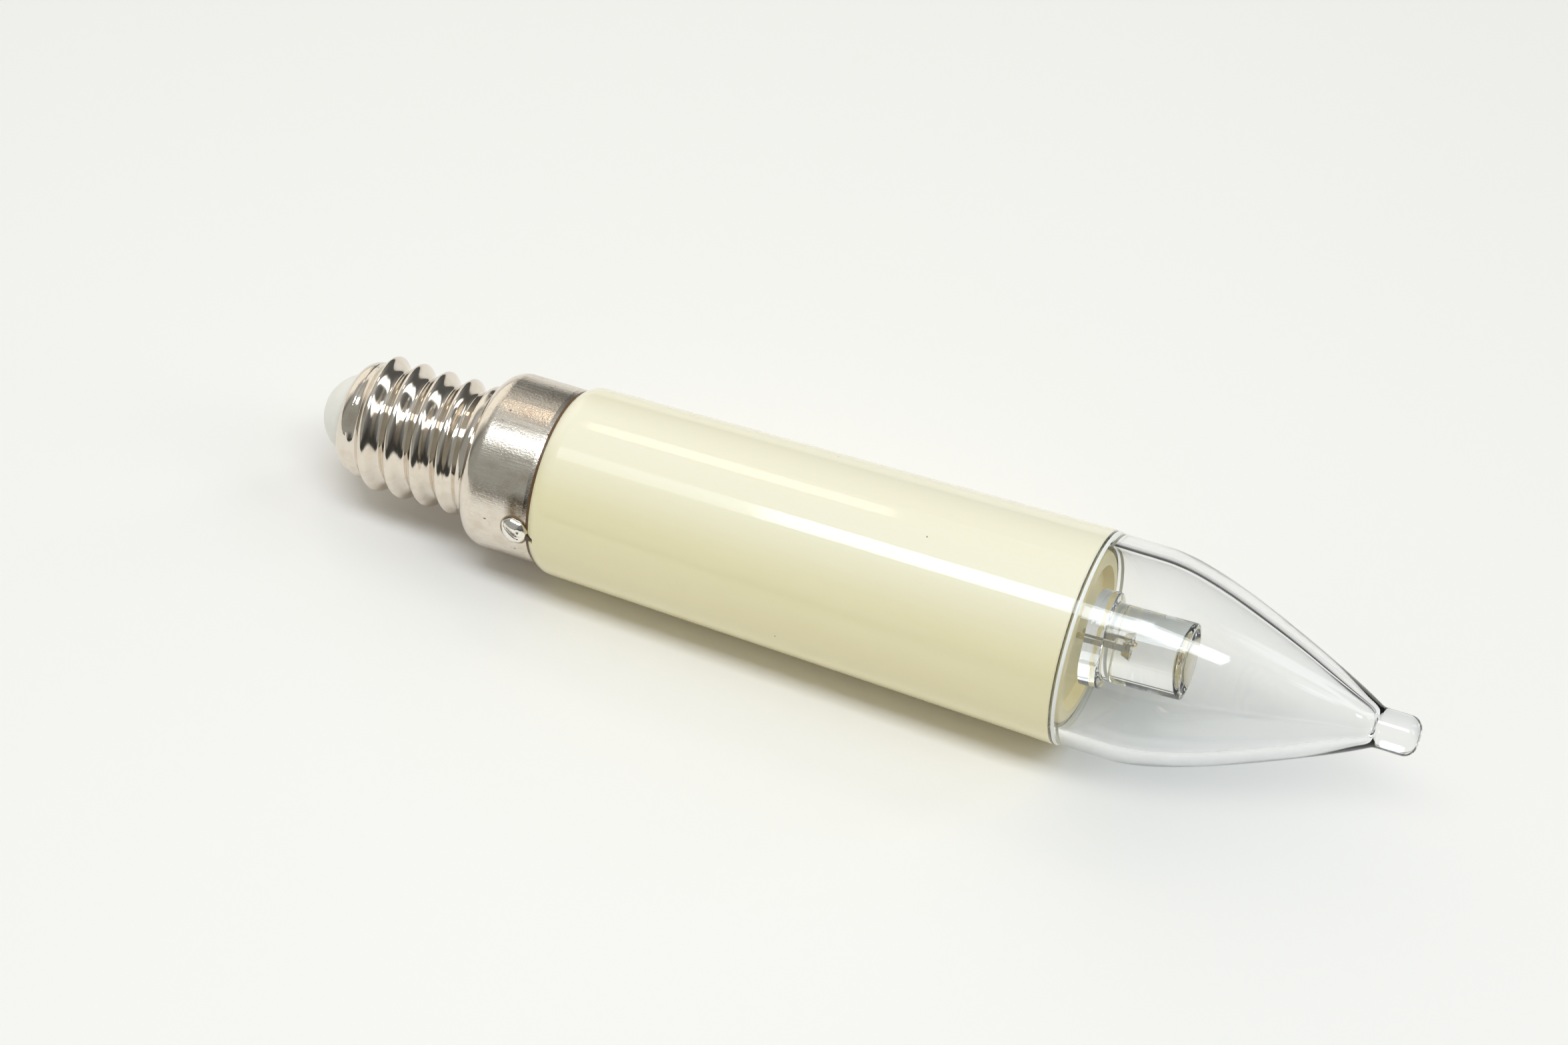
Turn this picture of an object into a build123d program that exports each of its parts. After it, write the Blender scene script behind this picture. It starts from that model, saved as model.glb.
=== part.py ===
from build123d import *
from math import cos, sin, radians
import os

os.makedirs("parts", exist_ok=True)

# An LED candle bulb lying on a table, in millimetres. The bulb's axis is the X axis and the flame's
# tip points along +X. The origin is the centre of the cap collar's edge, where a lamp holder ends.

# Screw thread: a round rolled thread of 14 mm size
thread_pitch = 2.822
thread_crest_radius = 6.88
thread_depth = 1.05
thread_start = -21.5
thread_end = -8.3
thread_first_crest = -20.17
thread_crest_angle = 40.5
sections_per_turn = 12
fade_in = 1.4
fade_out = 2.0

# Screw shell: rolled-in lip, neck and collar
shell_wall = 0.35
lip_radius = 1.5
shell_bore = 5.5
neck_radius = thread_crest_radius
collar_radius = 9.0
collar_shoulder = 2.1
collar_length = 5.9
rim_bevel = 0.4
rim_bevel_rise = 0.15

# Insulator and centre contact
insulator_tip = -25.7
insulator_tip_radius = 2.1
insulator_dome_point = (-24.6, 3.42)
insulator_floor = -22.6
insulator_wall = 1.2
insulator_back = -19.0
eyelet_radius = 1.3
eyelet_bore = 0.7
eyelet_head = 1.6
eyelet_flange = 0.1
eyelet_edge = 0.05
eyelet_back = -22.0
eyelet_plug_x = -24.4
contact_dome_height = 0.25
contact_dome_radius = 1.3

# Candle sleeve
seam_width = 0.3
sleeve_end = 55.35
sleeve_small_radius = 9.70
sleeve_large_radius = 10.78
sleeve_shoulder_x = 1.9
sleeve_shoulder_radius = 8.95
cement_inset = 0.05
sleeve_wall = 1.25
spigot_radius = 8.6
spigot_length = 4.5
spigot_wall = 1.0
sleeve_rim_round = 0.2
seat_radius = 9.75
seat_x = 51.5
seat_ledge = 1.2
seat_ledge_bore = 8.6

# Flame cover
cover_spigot_radius = 9.7
cover_spigot_x = 52.5
cover_bore = 9.2
cover_bead_radius = 10.72
cover_bead_width = 0.4
cover_radius = 10.62
cover_straight_end = 60.6
flame_outside = ((65.8, 9.77), (72.2, 7.58), (78.0, 5.16))
flame_inside = ((65.4, 8.50), (71.75, 6.37), (77.5, 3.98), (82.5, 1.75))
flame_end_slope = 0.55
cavity_end = 84.3
cavity_end_radius = 0.5
nib_radius = 2.0
nib_start = 84.35
nib_end = 88.55
nib_corner = 1.3
nib_fillet = 0.6
nib_fillet_rise = 0.12

# LED holder
holder_radius = 8.7
holder_front = 55.75
holder_floor = 54.75
holder_recess_radius = 7.0
holder_skirt_bore = 8.0
holder_web = 1.3
holder_rim_round = 0.5
holder_recess_draft = 0.3

# LED: it leans a little in its holder, as it was fitted by hand
led_base = (56.05, 0.23, 0.19)
led_axis_direction = (1.0, 0.028, 0.024)
led_roll = 143.0
led_flange_radius = 4.78
led_flange_flat = 4.38
led_flange_height = 1.8
led_body_radius = 3.85
led_height = 9.55
led_dimple_radius = 3.35
led_dimple_depth = 1.4
led_rim_round = 0.25
led_body_draft = 0.05
led_flange_edge = 0.2
lead_size = 0.5
lead_spacing = 2.54
lead_length = 7.5
post_height = 3.0
cup_height = 3.95
cup_radius = 0.95
cup_rim = 0.12
cup_draft = 0.25
cup_floor_radius = 0.5
cup_depth = 0.4
cup_stem = 1.6
chip_size = 0.6
chip_height = 0.2
bond_wire_radius = 0.03
bond_wire_rise = 0.3

# Driver board: it slides between two pairs of rails in the sleeve, with its tall parts underneath
board_x0 = 8.0
board_x1 = 42.0
board_width = 14.0
board_bottom = 2.0
board_thickness = 1.2
board_top = board_bottom + board_thickness
rail_height = 0.8
rail_inner = 6.3
rail_overhang = 1.5
leg_radius = 0.3
film_x = 16.0
film_pitch = 7.5
film_length = 12.0
film_width = 6.0
film_height = 7.8
film_corner = 0.5
can_x = 30.0
can_pitch = 2.5
can_radius = 3.15
can_height = 7.0
can_edge = 0.3
can_groove = 0.25
can_groove_drop = 1.2
bridge_x = 35.5
bridge_length = 4.7
bridge_width = 3.9
bridge_height = 2.3
bridge_standoff = 0.15
bridge_taper = 5
bridge_foot_pitch = 2.5
bridge_foot_span = 5.2
bridge_foot = (0.6, 1.6, 0.25)
resistor_length = 3.2
resistor_width = 1.6
resistor_height = 0.6
resistor_y = 3.0
resistor_gap = 9.0
end_cap_length = 0.5
end_cap_rise = 0.05
joint_radius = 0.85
joint_height = 0.5
wire_radius = 0.3
wire_bend = 0.8
wire_stub = 0.3
wire_sink = 0.2
neutral_pad_y = 3.2
cap_pad_x = 9.6
led_pad_x = 40.4

# Side solder and the wire that it holds
solder_x = -1.15
solder_angle = 174.0
wire_angle = 178.0
notch_width = 0.7
notch_depth = 2.6
solder_radius = 1.4
solder_height = 0.8
solder_root = 0.5

profile_plane = Plane.XZ


def around(radius, angle):
    """A point's Y and Z at a radius and an angle about the bulb's axis."""
    return radius * cos(radians(angle)), radius * sin(radians(angle))


# Screw shell. The thread is a stack of circles, each set off centre towards the crest at its height.
# Its root and crest run out into the lip at one end and into the neck at the other.
thread_root_radius = thread_crest_radius - thread_depth
turns = (thread_end - thread_start) / thread_pitch
section_count = round(turns * sections_per_turn)

with BuildPart() as screw_shell:
    for i in range(section_count + 1):
        x = thread_start + (thread_end - thread_start) * i / section_count
        rise = min(1.0, (x - thread_start) / fade_in)
        fill = max(0.0, (x - thread_end + fade_out) / fade_out)
        crest = thread_root_radius + thread_depth * rise
        root = thread_root_radius + thread_depth * fill
        turn = thread_crest_angle + 360 * (x - thread_first_crest) / thread_pitch
        with BuildSketch(Plane.YZ.offset(x)):
            with Locations(around((crest - root) / 2, turn)):
                Circle((crest + root) / 2)
    loft()
    with BuildSketch(profile_plane):
        with BuildLine():
            lip_x = thread_start - lip_radius
            lip_r = thread_root_radius - lip_radius
            Line((thread_start, 0), (lip_x, 0))
            Line((lip_x, 0), (lip_x, lip_r))
            RadiusArc((lip_x, lip_r), (thread_start, thread_root_radius), lip_radius)
            Line((thread_start, thread_root_radius), (thread_start, 0))
        make_face()
    revolve(axis=Axis.X)
    with BuildSketch(profile_plane):
        with BuildLine():
            shoulder_x = -collar_length - collar_shoulder
            Polyline((0, 0), (thread_end, 0), (thread_end, neck_radius), (shoulder_x, neck_radius))
            RadiusArc((shoulder_x, neck_radius), (-collar_length, collar_radius), collar_shoulder)
            Line((-collar_length, collar_radius), (-rim_bevel, collar_radius))
            Line((-rim_bevel, collar_radius), (0, collar_radius - rim_bevel_rise))
            Line((0, collar_radius - rim_bevel_rise), (0, 0))
        make_face()
    revolve(axis=Axis.X)
    with BuildSketch(profile_plane):
        with BuildLine():
            wall_r = collar_radius - shell_wall
            neck_bore = neck_radius - shell_wall
            inner_shoulder = collar_shoulder - shell_wall
            Polyline((0, 0), (lip_x, 0), (lip_x, lip_r), (lip_x + shell_wall, lip_r),
                     (thread_start, shell_bore), (thread_end, shell_bore),
                     (shoulder_x + shell_wall, neck_bore),
                     (shoulder_x + collar_shoulder / 2, wall_r - inner_shoulder / 2),
                     (-collar_length, wall_r), (0, wall_r), (0, 0))
        make_face()
    revolve(axis=Axis.X, mode=Mode.SUBTRACT)
screw_shell.part.label = "screw_shell"
export_step(screw_shell.part, "parts/screw_shell.step")


# Insulator: a moulded dome that fills the lip's opening, with a skirt behind the lip
with BuildPart() as cap_insulator:
    with BuildSketch(profile_plane):
        with BuildLine():
            Line((insulator_tip, eyelet_radius), (insulator_tip, insulator_tip_radius))
            ThreePointArc((insulator_tip, insulator_tip_radius), insulator_dome_point, (lip_x, lip_r))
            Polyline((lip_x, lip_r), (lip_x + shell_wall, lip_r),
                     (thread_start, shell_bore), (insulator_back, shell_bore),
                     (insulator_back, shell_bore - insulator_wall),
                     (insulator_floor + insulator_wall, shell_bore - insulator_wall),
                     (insulator_floor, eyelet_radius), (insulator_tip, eyelet_radius))
        make_face()
    revolve(axis=Axis.X)
cap_insulator.part.label = "cap_insulator"
export_step(cap_insulator.part, "parts/cap_insulator.step")

# Centre contact: a flanged eyelet pressed through the insulator
contact_face = insulator_tip - eyelet_flange
with BuildPart() as centre_contact:
    with BuildSketch(profile_plane):
        with BuildLine():
            Polyline((contact_face, eyelet_bore), (contact_face, eyelet_head - eyelet_edge),
                     (contact_face + eyelet_edge, eyelet_head), (insulator_tip, eyelet_head),
                     (insulator_tip, eyelet_radius), (eyelet_back, eyelet_radius),
                     (eyelet_back, eyelet_bore), (contact_face, eyelet_bore))
        make_face()
    revolve(axis=Axis.X)
centre_contact.part.label = "centre_contact"
export_step(centre_contact.part, "parts/centre_contact.step")

# Solder that closes the eyelet: a low dome outside and a plug in the bore
with BuildPart() as contact_solder:
    with BuildSketch(profile_plane):
        with BuildLine():
            dome_sphere = (contact_dome_radius**2 + contact_dome_height**2) / (2 * contact_dome_height)
            dome_top = contact_face - contact_dome_height
            Line((eyelet_plug_x, 0), (dome_top, 0))
            RadiusArc((dome_top, 0), (contact_face, contact_dome_radius), dome_sphere)
            Polyline((contact_face, contact_dome_radius), (contact_face, eyelet_bore),
                     (eyelet_plug_x, eyelet_bore), (eyelet_plug_x, 0))
        make_face()
    revolve(axis=Axis.X)
contact_solder.part.label = "contact_solder"
export_step(contact_solder.part, "parts/contact_solder.step")

# Where the neutral wire comes out between the collar and the sleeve
notch_place = Location((*around(spigot_radius, wire_angle), 0), (0, 0, wire_angle))

# Cement that shows as a brown line between the collar and the sleeve, notched for the neutral wire
with BuildPart() as cement_ring:
    with BuildSketch(Plane.YZ):
        Circle(sleeve_shoulder_radius - cement_inset)
        Circle(spigot_radius, mode=Mode.SUBTRACT)
        with Locations(notch_place):
            Rectangle(notch_depth, notch_width, mode=Mode.SUBTRACT)
    extrude(amount=seam_width)
cement_ring.part.label = "cement_ring"
export_step(cement_ring.part, "parts/cement_ring.step")

# The sleeve's bore, with what its two pairs of rails leave of it, a seat for the LED holder and a
# rabbet for the flame cover
bore_small = sleeve_small_radius - sleeve_wall
bore_large = sleeve_large_radius - sleeve_wall
with BuildPart() as sleeve_bore:
    with BuildSketch(profile_plane):
        with BuildLine():
            Polyline((-spigot_length, 0), (-spigot_length, spigot_radius - spigot_wall),
                     (0, spigot_radius - spigot_wall), (sleeve_shoulder_x, bore_small),
                     (seat_x - seat_ledge, bore_large), (seat_x - seat_ledge, seat_ledge_bore),
                     (seat_x, seat_ledge_bore), (seat_x, seat_radius), (sleeve_end, seat_radius),
                     (sleeve_end, 0), (-spigot_length, 0))
        make_face()
    revolve(axis=Axis.X)
    with BuildSketch(Plane.YZ.offset(board_x0 - rail_overhang)):
        for z in (board_bottom - rail_height / 2, board_top + rail_height / 2):
            for side in (-1, 1):
                with Locations((side * (rail_inner + spigot_radius / 2), z)):
                    Rectangle(spigot_radius, rail_height)
    extrude(amount=board_x1 - board_x0 + 2 * rail_overhang, mode=Mode.SUBTRACT)

# Candle sleeve: a tapered tube with a rounded shoulder and a spigot for the collar
cone_slope = (sleeve_large_radius - sleeve_small_radius) / (sleeve_end - sleeve_shoulder_x)
with BuildPart() as candle_sleeve:
    with BuildSketch(profile_plane):
        with BuildLine():
            Polyline((-spigot_length, 0), (-spigot_length, spigot_radius), (seam_width, spigot_radius),
                     (seam_width, sleeve_shoulder_radius))
            TangentArc((sleeve_shoulder_x, sleeve_small_radius), (seam_width, sleeve_shoulder_radius),
                       tangent=(-1, -cone_slope))
            Polyline((sleeve_shoulder_x, sleeve_small_radius), (sleeve_end, sleeve_large_radius),
                     (sleeve_end, 0), (-spigot_length, 0))
        make_face()
    revolve(axis=Axis.X)
    fillet(candle_sleeve.edges().filter_by(GeomType.CIRCLE).group_by(Axis.X)[-1], sleeve_rim_round)
    add(sleeve_bore.part, mode=Mode.SUBTRACT)
    with BuildSketch(Plane.YZ.offset(-spigot_length)):
        with Locations(notch_place):
            Rectangle(notch_depth, notch_width)
    extrude(amount=spigot_length + seam_width + notch_width, mode=Mode.SUBTRACT)
candle_sleeve.part.label = "candle_sleeve"
export_step(candle_sleeve.part, "parts/candle_sleeve.step")

# Flame cover: a clear blown-looking moulding of even wall, closed by a solid nib
with BuildPart() as flame_cover:
    with BuildSketch(profile_plane):
        with BuildLine():
            Polyline((cover_spigot_x, cover_bore), (cover_spigot_x, cover_spigot_radius),
                     (sleeve_end, cover_spigot_radius), (sleeve_end, cover_bead_radius),
                     (sleeve_end + cover_bead_width, cover_bead_radius),
                     (sleeve_end + 1.5 * cover_bead_width, cover_radius), (cover_straight_end, cover_radius))
            Spline((cover_straight_end, cover_radius), *flame_outside,
                   (nib_start, nib_radius + nib_fillet_rise), tangents=((1, 0), (1, -flame_end_slope)))
            TangentArc((nib_start + nib_fillet, nib_radius), (nib_start, nib_radius + nib_fillet_rise),
                       tangent=(-1, 0))
            Line((nib_start + nib_fillet, nib_radius), (nib_end - nib_corner, nib_radius))
            RadiusArc((nib_end - nib_corner, nib_radius), (nib_end, nib_radius - nib_corner), nib_corner)
            Polyline((nib_end, nib_radius - nib_corner), (nib_end, 0), (cavity_end, 0))
            Line((cavity_end, 0), (cavity_end, cavity_end_radius))
            Spline((cavity_end, cavity_end_radius), *reversed(flame_inside), (cover_straight_end, cover_bore),
                   tangents=((-0.35, 1), (-1, 0)))
            Line((cover_straight_end, cover_bore), (cover_spigot_x, cover_bore))
        make_face()
    revolve(axis=Axis.X)
flame_cover.part.label = "flame_cover"
export_step(flame_cover.part, "parts/flame_cover.step")

# LED frame: Z along the LED's own axis and X towards its second lead
led_frame = Plane(origin=led_base, x_dir=(0, *around(1, led_roll)), z_dir=led_axis_direction)
led_profile = Plane(origin=led_base, x_dir=led_frame.x_dir, z_dir=-led_frame.y_dir)
led_axis = Axis(led_frame.origin, led_frame.z_dir)

# LED holder: a cup with a flange at the back, a recess in its face and two holes for the leads
with BuildPart() as led_holder:
    with BuildSketch(profile_plane):
        with BuildLine():
            Polyline((seat_x, holder_skirt_bore), (seat_x, cover_spigot_radius),
                     (cover_spigot_x, cover_spigot_radius), (cover_spigot_x, holder_radius),
                     (holder_front - holder_rim_round, holder_radius))
            RadiusArc((holder_front - holder_rim_round, holder_radius),
                      (holder_front, holder_radius - holder_rim_round), holder_rim_round)
            Polyline((holder_front, holder_radius - holder_rim_round),
                     (holder_front, holder_recess_radius + holder_recess_draft),
                     (holder_floor, holder_recess_radius), (holder_floor, 0), (holder_floor - holder_web, 0),
                     (holder_floor - holder_web, holder_skirt_bore), (seat_x, holder_skirt_bore))
        make_face()
    revolve(axis=Axis.X)
    with BuildSketch(led_frame):
        with GridLocations(lead_spacing, 0, 2, 1):
            Rectangle(lead_size, lead_size)
    extrude(amount=-6, mode=Mode.SUBTRACT)
led_holder.part.label = "led_holder"
export_step(led_holder.part, "parts/led_holder.step")

# LED leads: square legs from the lens back into the sleeve. The post of the second one carries the
# chip in a conical cup.
with BuildPart() as led_anode_lead:
    with BuildSketch(led_frame.offset(-lead_length)):
        with Locations((-lead_spacing / 2, 0)):
            Rectangle(lead_size, lead_size)
    extrude(amount=lead_length + cup_height - cup_depth)
led_anode_lead.part.label = "led_anode_lead"
export_step(led_anode_lead.part, "parts/led_anode_lead.step")

with BuildPart() as led_cathode_lead:
    with BuildSketch(led_frame.offset(-lead_length)):
        with Locations((lead_spacing / 2, 0)):
            Rectangle(lead_size, lead_size)
    extrude(amount=lead_length + post_height)
    with BuildSketch(led_frame.offset(cup_height - cup_stem)):
        with Locations((lead_spacing / 4, 0)):
            Rectangle(lead_spacing / 2 + lead_size, lead_size)
    extrude(amount=cup_stem - cup_depth)
    with BuildSketch(led_profile):
        with BuildLine():
            Polyline((0, cup_height - 2 * cup_depth), (cup_radius - cup_draft, cup_height - 2 * cup_depth),
                     (cup_radius, cup_height), (cup_radius - cup_rim, cup_height),
                     (cup_floor_radius, cup_height - cup_depth), (0, cup_height - cup_depth),
                     (0, cup_height - 2 * cup_depth))
        make_face()
    revolve(axis=led_axis)
led_cathode_lead.part.label = "led_cathode_lead"
export_step(led_cathode_lead.part, "parts/led_cathode_lead.step")

# LED chip on the cup's floor
with BuildPart() as led_chip:
    with BuildSketch(led_frame.offset(cup_height - cup_depth)):
        Rectangle(chip_size, chip_size)
    extrude(amount=chip_height)
led_chip.part.label = "led_chip"
export_step(led_chip.part, "parts/led_chip.step")

# Bond wire: an arch from the chip to the anode's arm
arch_foot = (-lead_spacing / 2, cup_height - cup_depth)
arch_top = (0, cup_height - cup_depth + chip_height)
with BuildPart() as led_bond_wire:
    with BuildLine(led_profile) as bond_line:
        ThreePointArc(arch_top, (-lead_spacing / 4, cup_height + bond_wire_rise), arch_foot)
    with BuildSketch(Plane(origin=bond_line.line @ 0, z_dir=bond_line.line % 0)):
        Rectangle(2 * bond_wire_radius, 2 * bond_wire_radius)
    sweep()
led_bond_wire.part.label = "led_bond_wire"
export_step(led_bond_wire.part, "parts/led_bond_wire.step")

# LED lens: clear body with a flange that is flat on the cathode's side, and a bowl-shaped dimple in
# its end. The lead frame, chip and bond wire are cast in, so their room is cut from it.
led_tip_radius = led_body_radius - led_body_draft
flat_cut = led_flange_radius - led_flange_flat
dimple_sphere = (led_dimple_radius**2 + led_dimple_depth**2) / (2 * led_dimple_depth)
with BuildPart() as led_lens:
    with BuildSketch(led_profile):
        with BuildLine():
            Polyline((0, 0), (led_flange_radius, 0), (led_flange_radius, led_flange_height - led_flange_edge),
                     (led_flange_radius - led_flange_edge, led_flange_height),
                     (led_body_radius, led_flange_height),
                     (led_tip_radius, led_height - led_rim_round))
            RadiusArc((led_tip_radius, led_height - led_rim_round),
                      (led_tip_radius - led_rim_round, led_height), -led_rim_round)
            Line((led_tip_radius - led_rim_round, led_height), (led_dimple_radius, led_height))
            RadiusArc((led_dimple_radius, led_height), (0, led_height - led_dimple_depth), dimple_sphere)
            Line((0, led_height - led_dimple_depth), (0, 0))
        make_face()
    revolve(axis=led_axis)
    with BuildSketch(led_frame):
        with Locations((led_flange_flat + flat_cut, 0)):
            Rectangle(2 * flat_cut, 2 * led_flange_radius)
    extrude(amount=led_flange_height, mode=Mode.SUBTRACT)
    for inner in (led_anode_lead, led_cathode_lead, led_chip, led_bond_wire):
        add(inner.part, mode=Mode.SUBTRACT)
led_lens.part.label = "led_lens"
export_step(led_lens.part, "parts/led_lens.step")

# Driver board, with a hole for each leg and wire
film_legs = [(film_x - film_pitch / 2, 0), (film_x + film_pitch / 2, 0)]
can_legs = [(can_x - can_pitch / 2, 0), (can_x + can_pitch / 2, 0)]
live_pad = (cap_pad_x, 0)
neutral_pad = (cap_pad_x, -neutral_pad_y)
cap_pads = [live_pad, neutral_pad]
lead_ends = [led_frame.from_local_coords((side * lead_spacing / 2, 0, -lead_length)) for side in (1, -1)]
led_pads = [(led_pad_x, end.Y) for end in lead_ends]
with BuildPart() as circuit_board:
    with BuildSketch(Plane.XY.offset(board_bottom)):
        with Locations(((board_x0 + board_x1) / 2, 0)):
            Rectangle(board_x1 - board_x0, board_width)
        with Locations(film_legs + can_legs + cap_pads + led_pads):
            Circle(leg_radius, mode=Mode.SUBTRACT)
    extrude(amount=board_thickness)
circuit_board.part.label = "circuit_board"
export_step(circuit_board.part, "parts/circuit_board.step")

# Dropper capacitor: a film capacitor in a moulded box, hanging under the board on its two legs
with BuildPart() as film_capacitor:
    with BuildSketch(Plane.XY.offset(board_bottom - film_height)):
        with Locations((film_x, 0)):
            RectangleRounded(film_length, film_width, film_corner)
    extrude(amount=film_height)
    with BuildSketch(Plane.XY.offset(board_bottom)):
        with Locations(film_legs):
            Circle(leg_radius)
    extrude(amount=board_thickness)
film_capacitor.part.label = "film_capacitor"
export_step(film_capacitor.part, "parts/film_capacitor.step")

# Smoothing capacitor: a low aluminium can with a groove near its seal
with BuildPart() as smoothing_capacitor:
    with BuildSketch(Plane.XZ):
        with BuildLine():
            can_foot = board_bottom - can_height
            groove_z = board_bottom - can_groove_drop
            Polyline((can_x, board_bottom), (can_x + can_radius, board_bottom),
                     (can_x + can_radius, groove_z + can_groove),
                     (can_x + can_radius - can_groove, groove_z), (can_x + can_radius, groove_z - can_groove),
                     (can_x + can_radius, can_foot + can_edge), (can_x + can_radius - can_edge, can_foot),
                     (can_x, can_foot), (can_x, board_bottom))
        make_face()
    revolve(axis=Axis((can_x, 0, 0), (0, 0, 1)))
    with BuildSketch(Plane.XY.offset(board_bottom)):
        with Locations(can_legs):
            Circle(leg_radius)
    extrude(amount=board_thickness)
smoothing_capacitor.part.label = "smoothing_capacitor"
export_step(smoothing_capacitor.part, "parts/smoothing_capacitor.step")

# Bridge rectifier on the board's upper face, with its four feet
with BuildPart() as bridge_rectifier:
    with BuildSketch(Plane.XY.offset(board_top + bridge_standoff)):
        with Locations((bridge_x, 0)):
            Rectangle(bridge_length, bridge_width)
    extrude(amount=bridge_height, taper=bridge_taper)
    with BuildSketch(Plane.XY.offset(board_top)):
        with Locations((bridge_x, 0)):
            with GridLocations(bridge_foot_pitch, bridge_foot_span, 2, 2):
                Rectangle(bridge_foot[0], bridge_foot[1])
    extrude(amount=bridge_foot[2])
bridge_rectifier.part.label = "bridge_rectifier"
export_step(bridge_rectifier.part, "parts/bridge_rectifier.step")


def chip_resistor(label, place):
    """A flat chip resistor on the board's upper face, its two end caps a little proud."""
    with BuildPart() as resistor:
        with BuildSketch(Plane.XY.offset(board_top)):
            with Locations(place):
                Rectangle(resistor_length, resistor_width)
        extrude(amount=resistor_height)
        with BuildSketch(Plane.XY.offset(board_top)):
            with Locations(place):
                with GridLocations(resistor_length - end_cap_length, 0, 2, 1):
                    Rectangle(end_cap_length, resistor_width)
        extrude(amount=resistor_height + end_cap_rise)
    resistor.part.label = label
    export_step(resistor.part, f"parts/{label}.step")


chip_resistor("bleed_resistor", (film_x, resistor_y))
chip_resistor("series_resistor", (film_x + resistor_gap, -resistor_y))


def wire(label, points):
    """A round wire along straight runs joined by tangent arcs."""
    with BuildPart() as run:
        with BuildLine() as route:
            FilletPolyline(*points, radius=wire_bend)
        with BuildSketch(Plane(origin=route.line @ 0, z_dir=route.line % 0)):
            Circle(wire_radius)
        sweep()
    run.part.label = label
    export_step(run.part, f"parts/{label}.step")
    return run.part


# Wires from the cap and to the LED. Each ends in its hole in the board, where a solder joint covers it.
wire("live_wire", [(eyelet_plug_x, 0, 0), (*live_pad, 0), (*live_pad, board_top)])
notch_top = (seam_width + wire_radius - wire_sink, *around(collar_radius + wire_stub, wire_angle))
neutral_y, neutral_z = around(-neutral_pad[1] / cos(radians(180 - wire_angle)), wire_angle)
neutral_wire = wire("neutral_wire", [notch_top, (notch_top[0], neutral_y, neutral_z),
                                     (neutral_pad[0], neutral_y, neutral_z), (*neutral_pad, board_top)])
for label, lead_end, pad in zip(("led_negative_wire", "led_positive_wire"), lead_ends, led_pads):
    wire(label, [lead_end, (*pad, lead_end.Z), (*pad, board_top)])

# Solder joints: a small drop over every leg and wire end on the board's upper face
with BuildPart() as board_solder:
    with Locations([(x, y, board_top) for x, y in film_legs + can_legs + cap_pads + led_pads]):
        Cylinder(joint_radius, joint_height, align=(Align.CENTER, Align.CENTER, Align.MIN))
board_solder.part.label = "board_solder"
export_step(board_solder.part, "parts/board_solder.step")

# Side solder: a blob on the collar's edge that holds the end of the neutral wire
with BuildPart() as side_solder:
    blob_plane = Plane(origin=(solder_x, *around(collar_radius, solder_angle)), x_dir=(1, 0, 0),
                       z_dir=(0, *around(1, solder_angle)))
    with BuildSketch(Plane(origin=blob_plane.origin, x_dir=(1, 0, 0), z_dir=-blob_plane.y_dir)):
        with BuildLine():
            blob_sphere = (solder_radius**2 + solder_height**2) / (2 * solder_height)
            Line((0, -solder_root), (0, solder_height))
            RadiusArc((0, solder_height), (solder_radius, 0), blob_sphere)
            Polyline((solder_radius, 0), (solder_radius, -solder_root), (0, -solder_root))
        make_face()
    revolve(axis=Axis(blob_plane.origin, blob_plane.z_dir))
    with BuildSketch(Plane.YZ.offset(-2 * collar_length)):
        Circle(collar_radius)
    extrude(amount=3 * collar_length, mode=Mode.SUBTRACT)
    add(neutral_wire, mode=Mode.SUBTRACT)
side_solder.part.label = "side_solder"
export_step(side_solder.part, "parts/side_solder.step")
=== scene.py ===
from math import cos, radians, sin

import bmesh
import bpy
import numpy as np
from mathutils import Matrix, Vector


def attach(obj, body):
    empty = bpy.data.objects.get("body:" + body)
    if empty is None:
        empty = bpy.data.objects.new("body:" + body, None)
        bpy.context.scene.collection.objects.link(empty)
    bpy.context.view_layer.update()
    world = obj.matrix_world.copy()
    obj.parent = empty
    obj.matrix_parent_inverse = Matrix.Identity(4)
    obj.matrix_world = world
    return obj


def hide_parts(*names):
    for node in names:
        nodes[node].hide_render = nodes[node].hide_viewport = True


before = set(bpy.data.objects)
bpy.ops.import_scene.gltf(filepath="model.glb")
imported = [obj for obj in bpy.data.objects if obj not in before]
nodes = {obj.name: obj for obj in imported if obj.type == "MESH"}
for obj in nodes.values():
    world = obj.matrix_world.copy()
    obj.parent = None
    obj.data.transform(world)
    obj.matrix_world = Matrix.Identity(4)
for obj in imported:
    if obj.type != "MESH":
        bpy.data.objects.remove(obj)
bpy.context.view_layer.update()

mm = 0.001
falling = (1.0, 0.0)

# Screw shell: thin brass sheet with bright nickel plating. The round thread is rolled into it, and the
# collar is drawn over the sleeve's spigot, so it keeps fine marks from the tool along its length.
collar_edge = (-6.6 * mm, -6.0 * mm)
nickel = (0.79, 0.72, 0.63, 1)
nickel_worn = (0.68, 0.59, 0.49, 1)
rolled_roughness = (0.05, 0.15)
drawn_roughness = (0.17, 0.33)
pit_brown = (0.22, 0.17, 0.12, 1)
pit_edge = (0.05, 0.10)
flux_brown = (0.20, 0.15, 0.09, 1)
flux_centre = (-0.95 * mm, -8.45 * mm, 3.1 * mm)
flux_stretch = (1, 0.75, 0.75)
flux_edge = (0.7 * mm, 1.5 * mm)
ring_centre = (-1.15 * mm, -8.98 * mm, 0.63 * mm)
ring_stretch = (1, 1, 0.83)
ring_inner_edge = (1.20 * mm, 1.30 * mm)
ring_outer_edge = (1.44 * mm, 1.60 * mm)


def new_material(name):
    """A material with its Principled shader, to which a piece's own patterns are wired."""
    material = bpy.data.materials.new(name)
    material.use_nodes = True
    return material, material.node_tree, material.node_tree.nodes["Principled BSDF"]


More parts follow.
